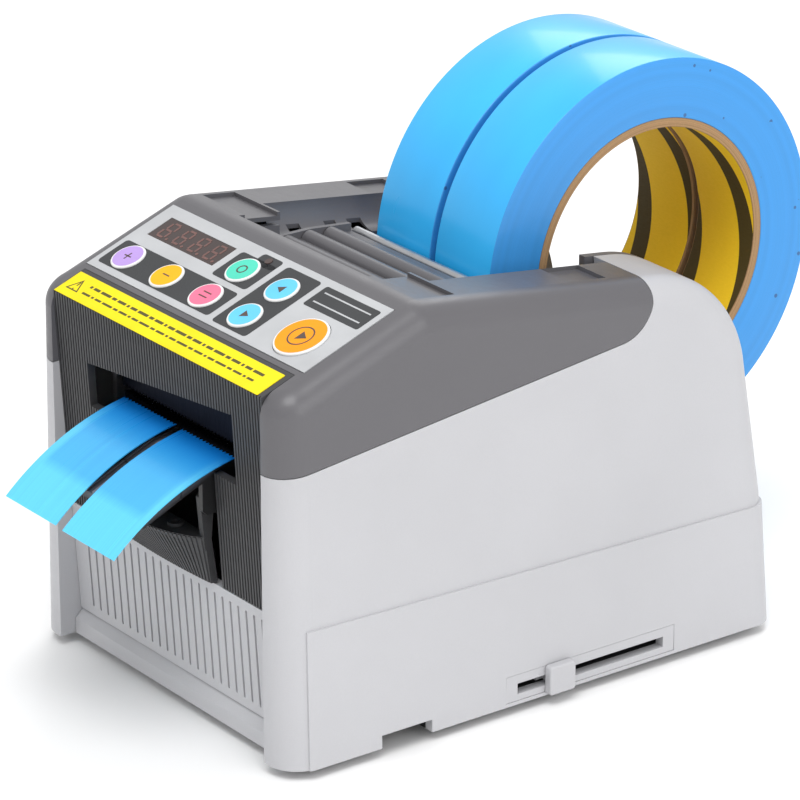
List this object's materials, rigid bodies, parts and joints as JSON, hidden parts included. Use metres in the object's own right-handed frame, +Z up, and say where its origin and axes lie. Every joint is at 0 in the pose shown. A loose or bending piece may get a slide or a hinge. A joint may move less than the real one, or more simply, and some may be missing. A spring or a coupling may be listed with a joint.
{
  "type": "automatic tape dispenser",
  "caption": "Desktop electric tape dispenser with a hopper for twin tape rolls, feed and cutting unit, sloping keypad and tape mouth.",
  "frame": {"origin": "bottom centre of the overall bounding box, on the surface the feet stand on", "axes": "+Z up, the tape leaves towards -Y, +X to the right as seen from the front"},
  "size_m": [0.1278, 0.2413, 0.1654],
  "materials": {
    "body_light": "matte light grey moulding, fine grain",
    "body_dark": "matte mid grey moulding",
    "panel_charcoal": "matte charcoal, fine vertical ribs",
    "black_plastic": "satin black",
    "membrane": "satin silver-grey printed film",
    "label_yellow": "printed film",
    "display_dark": "dark tinted window",
    "lamp_red": "translucent lens",
    "board_green": "coated board",
    "key_lavender": "satin key",
    "key_amber": "satin key",
    "key_pink": "satin key",
    "key_turquoise": "satin key",
    "key_blue": "satin key",
    "key_orange": "satin key",
    "tape_blue": "wound film, glossy",
    "core_card": "spiral wound card",
    "roller_rubber": "moulded rubber",
    "roller_white": "acetal",
    "foot_rubber": "soft rubber",
    "steel": "zinc plated sheet",
    "blade_steel": "ground edge",
    "motor_metal": "rolled can",
    "gear_plastic": "acetal"
  },
  "bodies": {
    "housing": {"adjust_slot_plate": "body_light", "base_plate": "black_plastic", "control_membrane": "membrane", "cutter_motor": "motor_metal", "display_window": "display_dark", "edge_guide_left": "body_dark", "edge_guide_right": "body_dark", "feed_motor": "motor_metal", "feet": "foot_rubber", "fixed_blade": "blade_steel", "front_cover": "panel_charcoal", "front_sill": "body_light", "hopper_floor": "body_dark", "hopper_tray": "body_dark", "hopper_wall_left": "body_dark", "hopper_wall_right": "body_dark", "housing_screws": "steel", "indicator_lamp": "lamp_red", "keypad_board": "board_green", "mechanism_plate_left": "steel", "mechanism_plate_right": "steel", "mechanism_tie_bars": "steel", "power_inlet": "black_plastic", "press_springs": "steel", "rear_cover": "body_light", "side_shell_left": "body_light", "side_shell_right": "body_light", "spring_bridge": "steel", "support_axles": "steel", "tape_rail": "steel", "tape_rest_front": "black_plastic", "tape_rest_rear": "black_plastic", "top_cap": "body_dark", "vent_plate": "body_light", "warning_label": "label_yellow"},
    "roll_left": {"tape_roll_left": "tape_blue", "roll_core_left": "core_card"},
    "roll_right": {"tape_roll_right": "tape_blue", "roll_core_right": "core_card"},
    "guide_roller_front": {"support_roller_front": "roller_white"},
    "guide_roller_rear": {"support_roller_rear": "roller_white"},
    "feed": {"feed_shaft": "steel", "feed_roller": "roller_rubber", "feed_gear": "gear_plastic"},
    "pinion": {"motor_pinion": "gear_plastic"},
    "carrier": {"press_carrier": "steel"},
    "pressing_roller": {"press_roller": "roller_white"},
    "cutting_blade": {"moving_blade": "blade_steel"},
    "flap": {"lower_flap": "panel_charcoal"},
    "length_knob": {"adjust_knob": "body_light"},
    "rocker": {"switch_rocker": "black_plastic"},
    "strip_left": {"tape_strip_left": "tape_blue"},
    "strip_right": {"tape_strip_right": "tape_blue"},
    "button_forward_key": {"button_forward": "key_blue"},
    "button_minus_key": {"button_minus": "key_amber"},
    "button_mode_key": {"button_mode": "key_turquoise"},
    "button_plus_key": {"button_plus": "key_lavender"},
    "button_reverse_key": {"button_reverse": "key_blue"},
    "button_select_key": {"button_select": "key_pink"},
    "button_start_key": {"button_start": "key_orange"}
  },
  "joints": [
    {"name": "roll_left_spin", "type": "hinge", "parent": "housing", "child": "roll_left", "pos_m": [0, 0.06245, 0.1073], "axis": [1, 0, 0], "continuous": true},
    {"name": "roll_right_spin", "type": "hinge", "parent": "housing", "child": "roll_right", "pos_m": [0, 0.06245, 0.1073], "axis": [1, 0, 0], "continuous": true},
    {"name": "guide_roller_front_spin", "type": "hinge", "parent": "housing", "child": "guide_roller_front", "pos_m": [0, 0.02522, 0.05414], "axis": [1, 0, 0], "continuous": true},
    {"name": "guide_roller_rear_spin", "type": "hinge", "parent": "housing", "child": "guide_roller_rear", "pos_m": [0, 0.06754, 0.0426], "axis": [1, 0, 0], "continuous": true},
    {"name": "feed_spin", "type": "hinge", "parent": "housing", "child": "feed", "pos_m": [0, -0.05555, 0.07235], "axis": [1, 0, 0], "continuous": true},
    {"name": "pinion_spin", "type": "hinge", "parent": "housing", "child": "pinion", "pos_m": [0, -0.03905, 0.04377], "axis": [1, 0, 0], "continuous": true},
    {"name": "carrier_slide", "type": "slide", "parent": "housing", "child": "carrier", "axis": [0, 0, 1], "range_m": [0, 0.003], "stiffness_N_per_m": 1500, "springref_m": -0.002, "deforming": ["press_springs"]},
    {"name": "press_roller_spin", "type": "hinge", "parent": "carrier", "child": "pressing_roller", "pos_m": [0, -0.05555, 0.08765], "axis": [1, 0, 0], "continuous": true},
    {"name": "blade_slide", "type": "slide", "parent": "housing", "child": "cutting_blade", "axis": [0, 0, -1], "range_m": [0, 0.005]},
    {"name": "flap_swing", "type": "hinge", "parent": "housing", "child": "flap", "pos_m": [0, -0.08715, 0.069], "axis": [-1, 0, 0], "range_deg": [0, 25]},
    {"name": "length_slide", "type": "slide", "parent": "housing", "child": "length_knob", "axis": [0, 1, 0], "range_m": [-0.011, 0.035]},
    {"name": "switch_rock", "type": "hinge", "parent": "housing", "child": "rocker", "pos_m": [-0.015, 0.08085, 0.022], "axis": [0, 0, 1], "range_deg": [0, 10]},
    {"name": "strip_left_draw", "type": "slide", "parent": "housing", "child": "strip_left", "axis": [0, -1, 0], "range_m": [0, 0.05]},
    {"name": "strip_right_draw", "type": "slide", "parent": "housing", "child": "strip_right", "axis": [0, -1, 0], "range_m": [0, 0.05]},
    {"name": "button_forward_press", "type": "slide", "parent": "housing", "child": "button_forward_key", "axis": [0, 0.3502, -0.9367], "range_m": [0, 0.0005], "stiffness_N_per_m": 400, "springref_m": -0.0005},
    {"name": "button_minus_press", "type": "slide", "parent": "housing", "child": "button_minus_key", "axis": [0, 0.3502, -0.9367], "range_m": [0, 0.0005], "stiffness_N_per_m": 400, "springref_m": -0.0005},
    {"name": "button_mode_press", "type": "slide", "parent": "housing", "child": "button_mode_key", "axis": [0, 0.3502, -0.9367], "range_m": [0, 0.0005], "stiffness_N_per_m": 400, "springref_m": -0.0005},
    {"name": "button_plus_press", "type": "slide", "parent": "housing", "child": "button_plus_key", "axis": [0, 0.3502, -0.9367], "range_m": [0, 0.0005], "stiffness_N_per_m": 400, "springref_m": -0.0005},
    {"name": "button_reverse_press", "type": "slide", "parent": "housing", "child": "button_reverse_key", "axis": [0, 0.3502, -0.9367], "range_m": [0, 0.0005], "stiffness_N_per_m": 400, "springref_m": -0.0005},
    {"name": "button_select_press", "type": "slide", "parent": "housing", "child": "button_select_key", "axis": [0, 0.3502, -0.9367], "range_m": [0, 0.0005], "stiffness_N_per_m": 400, "springref_m": -0.0005},
    {"name": "button_start_press", "type": "slide", "parent": "housing", "child": "button_start_key", "axis": [0, 0.3502, -0.9367], "range_m": [0, 0.0005], "stiffness_N_per_m": 400, "springref_m": -0.0005}
  ],
  "couplings": [
    {"joint": "pinion_spin", "follows": "feed_spin", "ratio": -3.125},
    {"joint": "press_roller_spin", "follows": "feed_spin", "ratio": -1.5}
  ]
}
